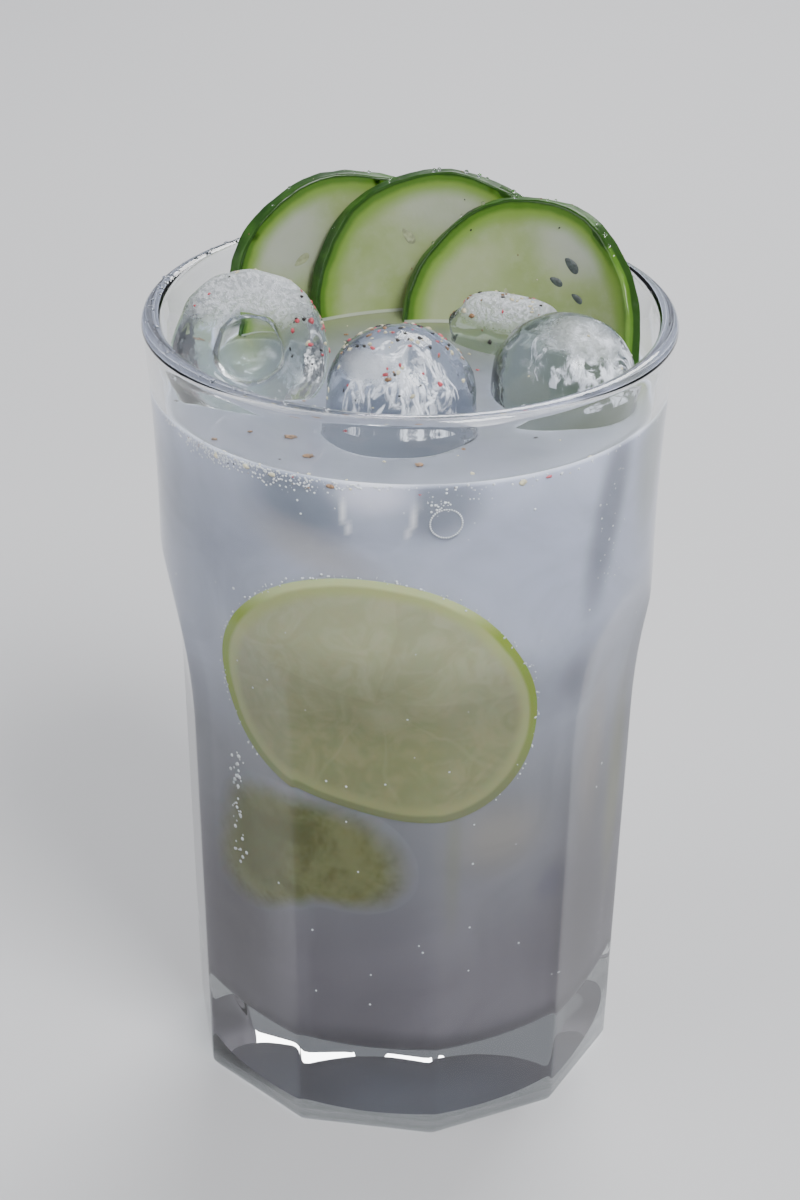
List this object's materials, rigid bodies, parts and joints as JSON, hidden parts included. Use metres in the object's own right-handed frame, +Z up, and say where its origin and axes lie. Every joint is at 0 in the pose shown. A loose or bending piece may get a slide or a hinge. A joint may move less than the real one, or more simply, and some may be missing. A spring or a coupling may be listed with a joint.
{
  "type": "iced vodka highball",
  "caption": "Tall faceted tumbler of cloudy iced vodka long drink with moulded ice, a fan of cucumber slices and crushed pepper.",
  "frame": {"origin": "middle of the tumbler's base, on the surface it stands on", "axes": "+Z up along the tumbler's axis, -Y towards the front that the picture shows"},
  "size_m": [0.0882, 0.0884, 0.1516],
  "materials": {
    "glass": "clear polished",
    "drink": "cloudy pale liquid",
    "ice": "wet ice, frosty inside",
    "cucumber": "wet flesh with a dark green skin",
    "lime": "wet fruit flesh",
    "pepper": "crushed grains"
  },
  "bodies": {
    "root": {"glass": "glass", "drink": "drink", "ice_left": "ice", "ice_middle": "ice", "ice_right": "ice", "ice_back": "ice", "cucumber_left": "cucumber", "cucumber_middle": "cucumber", "cucumber_right": "cucumber"}
  },
  "joints": []
}
